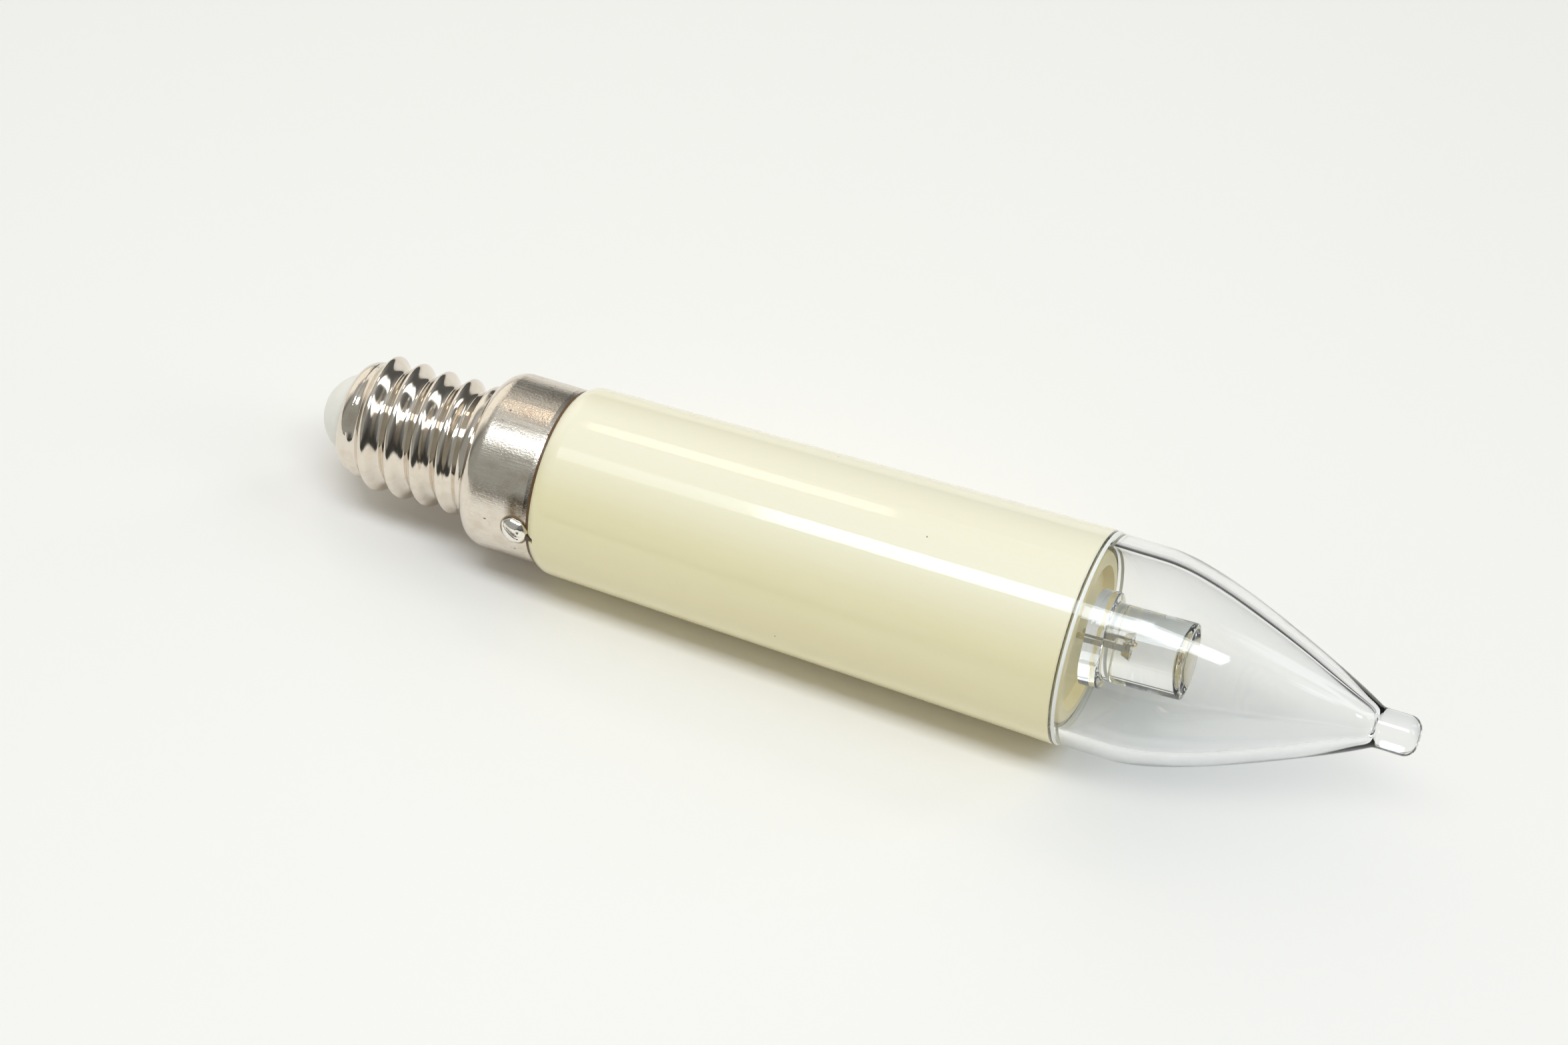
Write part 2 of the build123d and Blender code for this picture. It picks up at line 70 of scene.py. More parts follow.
def place(tree, stretch=(1, 1, 1), centre=(0, 0, 0)):
    """Object coordinates, moved so that centre is at zero and multiplied by stretch along each axis."""
    coordinates = tree.nodes.new("ShaderNodeTexCoord")
    mapping = tree.nodes.new("ShaderNodeMapping")
    mapping.inputs["Scale"].default_value = stretch
    mapping.inputs["Location"].default_value = [-c * s for c, s in zip(centre, stretch)]
    tree.links.new(coordinates.outputs["Object"], mapping.inputs["Vector"])
    return mapping.outputs["Vector"]


def noise(tree, scale, detail, stretch=(1, 1, 1), roughness=0.5):
    """Cloudy noise with scale cells to the metre, drawn out along an axis whose stretch is under 1."""
    node = tree.nodes.new("ShaderNodeTexNoise")
    node.inputs["Scale"].default_value = scale
    node.inputs["Detail"].default_value = detail
    node.inputs["Roughness"].default_value = roughness
    tree.links.new(place(tree, stretch), node.inputs["Vector"])
    return node.outputs["Fac"]


def dots(tree, scale, stretch=(1, 1, 1)):
    """How far the nearest of many scattered points is, in cells, with scale cells to the metre."""
    node = tree.nodes.new("ShaderNodeTexVoronoi")
    node.inputs["Scale"].default_value = scale
    tree.links.new(place(tree, stretch), node.inputs["Vector"])
    return node.outputs["Distance"]


def distance_from(tree, centre=(0, 0, 0), stretch=(1, 1, 1)):
    """Distance from the centre: the root of the sum of squared coordinates, each times its stretch."""
    node = tree.nodes.new("ShaderNodeVectorMath")
    node.operation = "LENGTH"
    tree.links.new(place(tree, stretch, centre), node.inputs[0])
    return node.outputs["Value"]


def along(tree, axis):
    """The X, Y or Z of the object's own coordinates, in metres."""
    node = tree.nodes.new("ShaderNodeSeparateXYZ")
    tree.links.new(place(tree), node.inputs["Vector"])
    return node.outputs[axis]


def remap(tree, value, ends, onto=(0.0, 1.0)):
    """Value carried in proportion from the range ends to the range onto, and held at both ends."""
    node = tree.nodes.new("ShaderNodeMapRange")
    for socket, number in zip(("From Min", "From Max", "To Min", "To Max"), ends + onto):
        node.inputs[socket].default_value = number
    tree.links.new(value, node.inputs["Value"])
    return node.outputs["Result"]


def mix_colour(tree, share, first, second):
    """The first colour where share is 0 and the second where it is 1. Either may be a socket."""
    node = tree.nodes.new("ShaderNodeMix")
    node.data_type = "RGBA"
    tree.links.new(share, node.inputs["Factor"])
    for socket, colour in (("A", first), ("B", second)):
        target = [s for s in node.inputs if s.name == socket and s.type == "RGBA"][0]
        if isinstance(colour, tuple):
            target.default_value = colour
        else:
            tree.links.new(colour, target)
    return [s for s in node.outputs if s.type == "RGBA"][0]


def arithmetic(tree, operation, first, second):
    """One sum on two values. Either may be a number or a socket."""
    node = tree.nodes.new("ShaderNodeMath")
    node.operation = operation
    for socket, value in zip(node.inputs, (first, second)):
        if isinstance(value, (int, float)):
            socket.default_value = value
        else:
            tree.links.new(value, socket)
    return node.outputs["Value"]


def times(tree, first, second):
    """The product of two values. Either may be a number or a socket."""
    return arithmetic(tree, "MULTIPLY", first, second)


def paint(tree, shader, share, first, second):
    """Colours the surface: the first colour where share is 0 and the second where it is 1."""
    tree.links.new(mix_colour(tree, share, first, second), shader.inputs["Base Color"])


def polish(tree, shader, pattern, ends, roughness):
    """Roughens the surface by a pattern, whose values in ends are carried onto the two of roughness."""
    tree.links.new(remap(tree, pattern, ends, roughness), shader.inputs["Roughness"])


def add_bump(tree, shader, height, depth, strength):
    """Tilts the surface by a height pattern, after whatever bump the shader already has."""
    node = tree.nodes.new("ShaderNodeBump")
    node.inputs["Strength"].default_value = strength
    node.inputs["Distance"].default_value = depth
    tree.links.new(height, node.inputs["Height"])
    if shader.inputs["Normal"].links:
        tree.links.new(shader.inputs["Normal"].links[0].from_socket, node.inputs["Normal"])
    tree.links.new(node.outputs["Normal"], shader.inputs["Normal"])


def dress(piece, material):
    """Gives a piece one material in place of what it had."""
    piece.data.materials.clear()
    piece.data.materials.append(material)


plated, tree, shader = new_material("nickel plated brass")
shader.inputs["Metallic"].default_value = 1.0
on_collar = remap(tree, along(tree, "X"), collar_edge)
drawn_marks = noise(tree, scale=9000, detail=3, stretch=(0.03, 1, 1))
fine_ripple = noise(tree, scale=5200, detail=2, stretch=(1, 0.4, 0.4))
grains = noise(tree, scale=4200, detail=3)
stains = noise(tree, scale=620, detail=5, roughness=0.6)
plating = mix_colour(tree, remap(tree, stains, (0.45, 0.75)), nickel, nickel_worn)

flux_away = distance_from(tree, flux_centre, flux_stretch)
flux = times(tree, remap(tree, flux_away, flux_edge, falling),
             remap(tree, stains, (0.3, 0.6), (0.6, 1.0)))
plating = mix_colour(tree, flux, plating, flux_brown)
# A thin dark brown ring on the collar round the foot of the solder drop.
ring_away = distance_from(tree, ring_centre, ring_stretch)
dark_foot_ring = times(tree, remap(tree, ring_away, ring_inner_edge),
                  remap(tree, ring_away, ring_outer_edge, falling))
plating = mix_colour(tree, dark_foot_ring, plating, flux_brown)

pit_away = dots(tree, scale=800, stretch=(0.6, 1, 1))
pit = times(tree, remap(tree, pit_away, pit_edge, falling), on_collar)
paint(tree, shader, pit, plating, pit_brown)
rolled_gloss = remap(tree, stains, (0.3, 0.8), rolled_roughness)
drawn_gloss = remap(tree, drawn_marks, (0.3, 0.7), drawn_roughness)
gloss = tree.nodes.new("ShaderNodeMix")
for socket, value in ((0, on_collar), (2, rolled_gloss), (3, drawn_gloss)):
    tree.links.new(value, gloss.inputs[socket])
tree.links.new(gloss.outputs[0], shader.inputs["Roughness"])
add_bump(tree, shader, times(tree, drawn_marks, on_collar), depth=0.014 * mm, strength=0.6)
add_bump(tree, shader, times(tree, grains, on_collar), depth=0.030 * mm, strength=0.7)
add_bump(tree, shader, fine_ripple, depth=0.003 * mm, strength=0.5)
dress(nodes["screw_shell"], plated)

# Insulator: a small dome moulded in milky white plastic, which fills the shell's opening and keeps the
# centre contact away from it. Light goes a little way into it.
milk = (0.85, 0.82, 0.74, 1)
milk_pale = (0.90, 0.875, 0.80, 1)


def two_tone(name, first, second, roughness, metallic=0.0, **pattern):
    """A material whose colour goes from the first to the second with cloudy noise, and that noise. Where
    roughness is a pair, it goes from the one to the other as the noise rises from 0.3 to 0.7."""
    material, tree, shader = new_material(name)
    cloud = noise(tree, **pattern)
    paint(tree, shader, cloud, first, second)
    shader.inputs["Metallic"].default_value = metallic
    if isinstance(roughness, tuple):
        polish(tree, shader, cloud, (0.3, 0.7), roughness)
    else:
        shader.inputs["Roughness"].default_value = roughness
    return material, tree, shader, cloud


milky, tree, shader = two_tone("milky plastic", milk, milk_pale, roughness=0.34, scale=900, detail=3)[:3]
shader.inputs["Subsurface Weight"].default_value = 0.4
shader.inputs["Subsurface Radius"].default_value = (1.0, 1.0, 0.9)
shader.inputs["Subsurface Scale"].default_value = 1.0 * mm
add_bump(tree, shader, noise(tree, scale=4000, detail=2), depth=0.004 * mm, strength=0.4)
dress(nodes["cap_insulator"], milky)

# Centre contact: a brass eyelet through the insulator, closed by a low drop of solder, which is grey
# and a little uneven where it set.
contact_brass = (0.78, 0.62, 0.33, 1)
contact_tarnish = (0.60, 0.44, 0.22, 1)
tin_grey = (0.80, 0.80, 0.79, 1)
tin_dull = (0.60, 0.60, 0.58, 1)

brass = two_tone("contact brass", contact_brass, contact_tarnish, roughness=(0.2, 0.4), metallic=1.0,
                 scale=1500, detail=4)[0]
dress(nodes["centre_contact"], brass)

tin, tree, shader, crust = two_tone("tin solder", tin_grey, tin_dull, roughness=(0.14, 0.34),
                                    metallic=1.0, scale=2600, detail=4)
add_bump(tree, shader, crust, depth=0.05 * mm, strength=0.6)
dress(nodes["contact_solder"], tin)
dress(nodes["board_solder"], tin)

# Driver board and its parts, hidden in the sleeve: bare brown laminate with a woven core, a boxed film
# capacitor, a small aluminium can and moulded black chips.
board_brown = (0.40, 0.27, 0.12, 1)
board_dark = (0.30, 0.19, 0.08, 1)
box_red = (0.52, 0.06, 0.03, 1)
box_dark = (0.44, 0.04, 0.02, 1)
can_blue = (0.02, 0.025, 0.05, 1)
can_pale = (0.03, 0.04, 0.07, 1)
chip_black = (0.012, 0.012, 0.012, 1)
chip_grey = (0.03, 0.03, 0.03, 1)

laminate = two_tone("brown laminate", board_brown, board_dark, roughness=0.55,
                    scale=1800, detail=3, stretch=(0.3, 1, 1))[0]
dress(nodes["circuit_board"], laminate)

red_box, tree, shader, grain = two_tone("red capacitor box", box_red, box_dark, roughness=0.38,
                                        scale=5000, detail=2)
add_bump(tree, shader, grain, depth=0.01 * mm, strength=0.4)
dress(nodes["film_capacitor"], red_box)

wrapped_can = two_tone("film over aluminium", can_blue, can_pale, roughness=0.25,
                       scale=1200, detail=2, stretch=(1, 1, 0.2))[0]
dress(nodes["smoothing_capacitor"], wrapped_can)

black_moulding = two_tone("black moulding", chip_black, chip_grey, roughness=0.6, scale=9000, detail=2)[0]
for name in ("bridge_rectifier", "bleed_resistor", "series_resistor"):
    dress(nodes[name], black_moulding)

# Wires: tinned copper, four between the cap, the board and the LED. The neutral wire's end comes out
# beside the collar, where the flux has burnt it dark.
wire_tin = (0.55, 0.45, 0.36, 1)
wire_copper = (0.42, 0.27, 0.17, 1)
soot_black = (0.05, 0.035, 0.025, 1)
soot_brown = (0.16, 0.12, 0.09, 1)

wire_metal = two_tone("tinned copper", wire_tin, wire_copper, roughness=0.35, metallic=1.0,
                      scale=3000, detail=3)[0]
for name in ("live_wire", "led_positive_wire", "led_negative_wire"):
    dress(nodes[name], wire_metal)

burnt_wire = two_tone("burnt wire end", soot_black, soot_brown, roughness=0.45, metallic=0.6,
                      scale=4000, detail=3)[0]
dress(nodes["neutral_wire"], burnt_wire)

# LED holder: a cup moulded in satin cream plastic, a little darker than the sleeve. The LED stands in
# the recess in its face.
holder_cream = (0.98, 0.85, 0.49, 1)
holder_dark = (0.96, 0.80, 0.42, 1)

holder_plastic, tree, shader = two_tone("satin holder plastic", holder_cream, holder_dark, roughness=0.42,
                                        scale=500, detail=3)[:3]
add_bump(tree, shader, noise(tree, scale=6000, detail=2), depth=0.004 * mm, strength=0.4)
dress(nodes["led_holder"], holder_plastic)

# LED: clear epoxy cast round a stamped lead frame. The chip sits in a cup under its drop of phosphor,
# with one fine gold wire across to the other lead.
led_base = np.array([56.05, 0.23, 0.19]) * mm
led_towards = np.array([1.0, 0.028, 0.024])
led_roll = radians(143.0)
flange_radius = 4.78 * mm
flange_flat = 4.38 * mm
flange_height = 1.8 * mm
flange_edge = 0.2 * mm
lens_radius = 3.85 * mm
lens_height = 9.55 * mm
lens_draft = 0.05 * mm
lens_round = 0.25 * mm
dimple_radius = 3.35 * mm
dimple_depth = 1.4 * mm
dimple_steps = 18
lens_sides = 160
epoxy_colour = (0.98, 0.985, 0.98, 1)
epoxy_index = 1.52
lens_tint = (0.90, 0.91, 0.91, 1)
lead_bright = (0.82, 0.80, 0.74, 1)
lead_dull = (0.58, 0.54, 0.46, 1)
phosphor_orange = (0.95, 0.50, 0.20, 1)
phosphor_deep = (0.88, 0.42, 0.15, 1)
gold_bright = (0.95, 0.70, 0.28, 1)
gold_deep = (0.85, 0.60, 0.22, 1)
merged_within = 1e-7
sharp_from = radians(20)

led_towards = led_towards / np.linalg.norm(led_towards)
led_across = np.array([0, cos(led_roll), sin(led_roll)])
led_across = led_across - led_towards * (led_across @ led_towards)
led_across = led_across / np.linalg.norm(led_across)
led_side = np.cross(led_towards, led_across)


def corner_round(start, corner, end, steps):
    """Points on the curve from start to end that is tangent to both runs at the corner: a weighted
    mean of the three, with weights (1-t)^2, 2t(1-t) and t^2."""
    t = np.linspace(0, 1, steps)[:, None]
    return (1 - t) ** 2 * np.array(start) + 2 * t * (1 - t) * np.array(corner) + t ** 2 * np.array(end)


def add_object(name, data):
    """A new object with that mesh, lamp or camera, in the scene."""
    thing = bpy.data.objects.new(name, data)
    bpy.context.scene.collection.objects.link(thing)
    return thing


def close_grid(name, points):
    """A piece from a grid of points, rows along the profile and columns once round. Each point joins the
    next row and the next column, the last column joins the first, and doubled points are merged."""
    rows, columns = points.shape[:2]
    row = np.arange(rows - 1)[:, None]
    column = np.arange(columns)[None, :]
    after_column = (column + 1) % columns
    faces = np.stack([row * columns + column, row * columns + after_column,
                      (row + 1) * columns + after_column, (row + 1) * columns + column], -1)
    mesh = bpy.data.meshes.new(name)
    mesh.from_pydata(points.reshape(-1, 3).tolist(), [], faces.reshape(-1, 4).tolist())
    shape = bmesh.new()
    shape.from_mesh(mesh)
    bmesh.ops.remove_doubles(shape, verts=shape.verts, dist=merged_within)
    shape.to_mesh(mesh)
    shape.free()
    mesh.shade_smooth()
    mesh.set_sharp_from_angle(angle=sharp_from)
    return add_object(name, mesh)


def clear_material(name, colour, index, tint, ripple, depth, strength):
    """Polished clear plastic with faint ripples. It is see-through for shadow rays and for light that has
    left a matt surface, so that the lamps reach what it encloses. The tint is what each wall lets by."""
    material, tree, shader = new_material(name)
    shader.inputs["Base Color"].default_value = colour
    shader.inputs["Transmission Weight"].default_value = 1.0
    shader.inputs["Roughness"].default_value = 0.0
    shader.inputs["IOR"].default_value = index
    add_bump(tree, shader, noise(tree, scale=ripple, detail=2), depth, strength)
    paths = tree.nodes.new("ShaderNodeLightPath")
    open_wall = tree.nodes.new("ShaderNodeBsdfTransparent")
    open_wall.inputs["Color"].default_value = tint
    below = shader.outputs["BSDF"]
    for ray in ("Is Diffuse Ray", "Is Shadow Ray"):
        mix = tree.nodes.new("ShaderNodeMixShader")
        tree.links.new(paths.outputs[ray], mix.inputs["Fac"])
        tree.links.new(below, mix.inputs[1])
        tree.links.new(open_wall.outputs["BSDF"], mix.inputs[2])
        below = mix.outputs["Shader"]
    tree.links.new(below, tree.nodes["Material Output"].inputs["Surface"])
    return material


lens_tip = lens_radius - lens_draft
dimple_sphere = (dimple_radius**2 + dimple_depth**2) / (2 * dimple_depth)
dimple_reach = np.linspace(dimple_radius, 0, dimple_steps)
dimple_height = lens_height - np.sqrt(dimple_sphere**2 - dimple_reach**2) + dimple_sphere - dimple_depth
lens_profile = np.vstack([
    [(0, 0), (0, flange_radius)],
    corner_round((flange_height - flange_edge, flange_radius), (flange_height, flange_radius),
                 (flange_height, flange_radius - flange_edge), 6),
    corner_round((flange_height, lens_radius + flange_edge), (flange_height, lens_radius),
                 (flange_height + flange_edge, lens_radius), 6),
    corner_round((lens_height - lens_round, lens_tip), (lens_height, lens_tip),
                 (lens_height, lens_tip - lens_round), 6),
    np.stack([dimple_height, dimple_reach], -1),
])
turn = np.linspace(0, 2 * np.pi, lens_sides, endpoint=False)
height = lens_profile[:, 0][:, None]
reach = lens_profile[:, 1][:, None] * np.ones_like(turn)
on_flange = height <= flange_height + 1e-9
flat = flange_flat / np.maximum(np.cos(turn), 0.05)
reach = np.minimum(reach, np.where(on_flange, flat, np.inf))
lens_points = (led_base + height[..., None] * led_towards
               + (reach * np.cos(turn))[..., None] * led_across
               + (reach * np.sin(turn))[..., None] * led_side)
lens = close_grid("led_lens_clear", lens_points)
dress(lens, clear_material("clear epoxy", epoxy_colour, epoxy_index, lens_tint,
                           ripple=700, depth=0.01 * mm, strength=0.2))
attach(lens, "root")
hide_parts("led_lens")

lead_metal = two_tone("tinned lead frame", lead_bright, lead_dull, roughness=(0.12, 0.30), metallic=1.0,
                      scale=3000, detail=3)[0]
for name in ("led_anode_lead", "led_cathode_lead"):
    dress(nodes[name], lead_metal)

phosphor = two_tone("orange phosphor", phosphor_orange, phosphor_deep, roughness=0.6,
                    scale=9000, detail=3)[0]
dress(nodes["led_chip"], phosphor)

gold = two_tone("gold wire", gold_bright, gold_deep, roughness=0.2, metallic=1.0, scale=9000, detail=2)[0]
dress(nodes["led_bond_wire"], gold)

# Candle sleeve: injection-moulded cream plastic with a high gloss. It shows faint flow lines along its
# length, small brown specks and fine rubbing marks in its gloss; its top is painted paler and whiter, as
# painted light.
sleeve_cream = (0.935, 0.85, 0.535, 1)
sleeve_deep = (0.915, 0.825, 0.505, 1)
# Painted light: the colour that the sleeve's top is painted towards, paler and whiter as if lit from
# above.
lit_top_pale = (0.955, 0.905, 0.755, 1)
lit_top_rise = (5.5 * mm, 9.6 * mm)
lit_top_most = 0.75
speck_brown = (0.35, 0.22, 0.10, 1)
speck_edge = (0.010, 0.022)

cream_plastic, tree, shader = new_material("cream plastic")
flow = noise(tree, scale=260, detail=3, stretch=(0.12, 1, 1))
rubbing = noise(tree, scale=2400, detail=5, stretch=(0.5, 1, 1), roughness=0.65)
cream = mix_colour(tree, remap(tree, flow, (0.3, 0.7)), sleeve_cream, sleeve_deep)
# Painted light: the paler colour rises with height over the sleeve's top, broken up a little by the
# rubbing noise.
painted_top_light = times(tree, remap(tree, along(tree, "Z"), lit_top_rise, (0.0, lit_top_most)),
             remap(tree, rubbing, (0.3, 0.7), (0.8, 1.0)))
cream = mix_colour(tree, painted_top_light, cream, lit_top_pale)
paint(tree, shader, remap(tree, dots(tree, scale=190), speck_edge, falling), cream, speck_brown)
polish(tree, shader, rubbing, ends=(0.35, 0.75), roughness=(0.02, 0.09))
shader.inputs["IOR"].default_value = 1.5
shader.inputs["Coat Weight"].default_value = 0.4
shader.inputs["Coat Roughness"].default_value = 0.38
add_bump(tree, shader, rubbing, depth=0.003 * mm, strength=0.5)
add_bump(tree, shader, flow, depth=0.02 * mm, strength=0.3)
dress(nodes["candle_sleeve"], cream_plastic)

# Cement: a glossy brown resin that fixes the cap on the sleeve's spigot. It was squeezed out as a thin,
# uneven line between the collar's edge and the sleeve's shoulder.
cement_dark = (0.09, 0.045, 0.018, 1)
cement_brown = (0.17, 0.09, 0.035, 1)

brown_cement, tree, shader, lumps = two_tone("brown cement", cement_dark, cement_brown, roughness=0.35,
                                             scale=2500, detail=4)
add_bump(tree, shader, lumps, depth=0.05 * mm, strength=0.6)
dress(nodes["cement_ring"], brown_cement)

# Flame cover: clear, polished plastic moulded with an even wall and a solid nib at its tip. A bead at
# its open end is pressed against the sleeve's rim, and its edge is left matt by the mould.
cover_spigot = (52.5 * mm, 9.70 * mm)
cover_bore = 9.20 * mm
bead_back, bead_front, bead_end = 55.35 * mm, 55.75 * mm, 55.95 * mm
bead_radius, cover_radius = 10.72 * mm, 10.62 * mm
matt_from = 55.62 * mm
matt_radius = 10.5 * mm
outside_mm = [(60.6, 10.62), (65.8, 9.77), (72.2, 7.58), (78.0, 5.16), (84.35, 2.12)]
outside_slope = 0.55
inside_mm = [(84.3, 0.5), (82.5, 1.75), (77.5, 3.98), (71.75, 6.37), (65.4, 8.50), (60.6, 9.20)]
inside_top = (-0.35, 1)
nib_radius, nib_end, nib_corner = 2.0 * mm, 88.55 * mm, 1.3 * mm
nib_side = 84.95 * mm
cover_sides = 224
plastic_colour = (0.985, 0.99, 0.99, 1)
plastic_index = 1.49
cover_tint = (0.90, 0.91, 0.92, 1)
matt_cream = (0.86, 0.85, 0.78, 1)
matt_pale = (0.95, 0.94, 0.88, 1)


def curve_through(points, first_way, last_way, steps):
    """Points on the smooth cubic curve through the given ones. Its speed at each point is solved so that
    its bend doesn't jump: h1*m0 + 2*(h0+h1)*m1 + h0*m2 = 3*(h1*d0 + h0*d1) for neighbouring runs, where
    h is a run's length, d its slope and m the speed at a point."""
    points = np.array(points)
    run = np.linalg.norm(np.diff(points, axis=0), axis=1)
    slope = np.diff(points, axis=0) / run[:, None]
    count = len(points)
    sums = np.zeros((count, count))
    goal = np.zeros((count, 2))
    sums[0, 0] = sums[-1, -1] = 1
    goal[0] = np.array(first_way) / np.linalg.norm(first_way)
    goal[-1] = np.array(last_way) / np.linalg.norm(last_way)
    for i in range(1, count - 1):
        sums[i, i - 1:i + 2] = run[i], 2 * (run[i - 1] + run[i]), run[i - 1]
        goal[i] = 3 * (run[i] * slope[i - 1] + run[i - 1] * slope[i])
    speed = np.linalg.solve(sums, goal)
    t = np.linspace(0, 1, steps, endpoint=False)[:, None]
    pieces = [(2 * t**3 - 3 * t**2 + 1) * points[i] + (t**3 - 2 * t**2 + t) * run[i] * speed[i]
              + (3 * t**2 - 2 * t**3) * points[i + 1] + (t**3 - t**2) * run[i] * speed[i + 1]
              for i in range(count - 1)]
    return np.vstack(pieces + [points[-1:]])


outside = curve_through(outside_mm, (1, 0), (1, -outside_slope), 12) * mm
inside = curve_through(inside_mm, inside_top, (-1, 0), 10) * mm
nib_foot = outside[-1][0] + (outside[-1][1] - nib_radius) / outside_slope
fillet = corner_round(outside[-1], (nib_foot, nib_radius), (nib_side, nib_radius), 6)
quarter = np.linspace(0, np.pi / 2, 10)
tip = np.stack([nib_end - nib_corner + nib_corner * np.sin(quarter),
                nib_radius - nib_corner + nib_corner * np.cos(quarter)], -1)
bead = [(bead_back, cover_spigot[1]), (bead_back, bead_radius), (matt_from, bead_radius),
        (bead_front, bead_radius), (bead_end, cover_radius)]
cover_profile = np.vstack([[(inside[0][0], 0)], inside, [(cover_spigot[0], cover_bore), cover_spigot],
                           bead, outside, fillet[1:], tip, [(nib_end, 0)]])
turn = np.linspace(0, 2 * np.pi, cover_sides, endpoint=False)
reach = cover_profile[:, 1][:, None]
cover_points = np.stack([cover_profile[:, 0][:, None] + 0 * turn,
                         reach * np.cos(turn), reach * np.sin(turn)], -1)
cover = close_grid("flame_cover_clear", cover_points)
dress(cover, clear_material("clear plastic", plastic_colour, plastic_index, cover_tint,
                            ripple=180, depth=0.02 * mm, strength=0.25))

matt_bead, tree, shader, mould_grain = two_tone("matt bead", matt_cream, matt_pale, roughness=0.3,
                                                scale=3000, detail=3)
add_bump(tree, shader, mould_grain, depth=0.01 * mm, strength=0.4)
cover.data.materials.append(matt_bead)
for face in cover.data.polygons:
    x, y, z = face.center
    if matt_from < x < bead_end and y * y + z * z > matt_radius ** 2:
        face.material_index = 1
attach(cover, "root")
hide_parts("flame_cover")

# Side solder: a drop of bright tin solder that holds the neutral wire's end on the collar's edge. It
# set with a smooth rounded belly, a few creases where the iron left it, and a crust towards the wire.
blob_x = -1.15 * mm
blob_angle = radians(176)
blob_reach = 1.33 * mm
blob_stretch = 1.2
blob_height = 0.80 * mm
blob_crown, blob_flank = 2.3, 0.62
blob_root = 0.3 * mm
collar_radius = 9.0 * mm
blob_sides, blob_rings = 120, 48
blob_lobes = [(2, 0.05, 0.4), (3, 0.04, -1.1), (7, 0.02, 0.0)]
creases = [(0.16, 0.30 * mm, -0.55, 0.15 * mm, -0.9 * mm),
           (0.10, -0.02 * mm, -0.75, 0.07 * mm, -np.inf),
           (-0.07, 0.80 * mm, -0.10, 0.16 * mm, -np.inf)]
crust_depth, crust_from = 0.05, 0.3 * mm
crust_length, crust_width = 0.13 * mm, 0.16 * mm
bright_tin_pale = (0.95, 0.91, 0.84, 1)
bright_tin_dull = (0.84, 0.79, 0.70, 1)


def crease(u, v, at_v, lean, width):
    """A long soft hollow of depth 1: exp(-(d/width)^2), where d is the distance in v from its line."""
    return np.exp(-(((v - at_v) - lean * u) / width) ** 2)


turn = np.linspace(0, 2 * np.pi, blob_sides, endpoint=False)
outline = 1
for count, amount, phase in blob_lobes:
    outline = outline + amount * np.cos(count * turn + phase)
outline = blob_reach * outline
share = np.linspace(1, 0, blob_rings)[:, None]
u = share * outline * np.cos(turn)
v = blob_stretch * share * outline * np.sin(turn)
hollow = 0
for depth, at_v, lean, width, from_u in creases:
    hollow = hollow + depth * crease(u, v, at_v, lean, width) * (u > from_u)
hollow = hollow + crust_depth * np.sin(u / crust_length) * np.sin(v / crust_width + 1) * (u > crust_from)
rise = blob_height * (1 - share**blob_crown) ** blob_flank - (1 - share**2) * mm * hollow
below = np.full((1, len(turn)), -blob_root)
rise = np.vstack([below, below, rise])
u, v = np.vstack([0 * u[:1], u[:1], u]), np.vstack([0 * v[:1], v[:1], v])
around = blob_angle - v / collar_radius
from_axis = collar_radius + rise
blob_points = np.stack([blob_x + u, from_axis * np.cos(around), from_axis * np.sin(around)], -1)
blob = close_grid("side_solder_blob", blob_points)

bright_tin, tree, shader = new_material("bright tin")
shader.inputs["Metallic"].default_value = 1.0
film = noise(tree, scale=3500, detail=4)
paint(tree, shader, remap(tree, film, (0.4, 0.7)), bright_tin_pale, bright_tin_dull)
polish(tree, shader, film, ends=(0.3, 0.7), roughness=(0.10, 0.26))
add_bump(tree, shader, film, depth=0.03 * mm, strength=0.6)
dress(blob, bright_tin)
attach(blob, "root")
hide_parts("side_solder")

# Floor: a plain near-white table top, tilted by the sleeve's taper so that the bulb lies on it. Far from
# the bulb the camera sees it in the background colour, and metal and clear plastic show it dim, as if a
# small table stood in dark surroundings.
sleeve_shoulder = (1.9, 9.70)
sleeve_rim = (55.35, 10.78)
floor_reach = 1.5
floor_colour = (0.94, 0.905, 0.86, 1)
background = (0.91, 0.91, 0.87, 1)
background_from = (0.13, 0.40)
dim_colour = (0.06, 0.06, 0.055, 1)
mirrored_way = (0.656, -0.755, 0)
dim_mirrored_from = (0.05, 0.09)
dim_through_from = (0.09, 0.22)

sleeve_slope = (sleeve_rim[1] - sleeve_shoulder[1]) / (sleeve_rim[0] - sleeve_shoulder[0])
corners = [(x, y, -(sleeve_shoulder[1] * mm + sleeve_slope * (x - sleeve_shoulder[0] * mm)))
           for x, y in ((-floor_reach, -floor_reach), (floor_reach, -floor_reach),
                        (floor_reach, floor_reach), (-floor_reach, floor_reach))]
floor_mesh = bpy.data.meshes.new("table_top")
floor_mesh.from_pydata(corners, [], [(0, 1, 2, 3)])
floor = add_object("table_top", floor_mesh)

table_top = bpy.data.materials.new("pale table top")
table_top.use_nodes = True
tree = table_top.node_tree
tree.nodes.remove(tree.nodes["Principled BSDF"])
painted = tree.nodes.new("ShaderNodeBsdfDiffuse")
painted.inputs["Color"].default_value = floor_colour
own_light = tree.nodes.new("ShaderNodeEmission")
own_light.inputs["Color"].default_value = background
dim_table = tree.nodes.new("ShaderNodeBsdfDiffuse")
dim_table.inputs["Color"].default_value = dim_colour

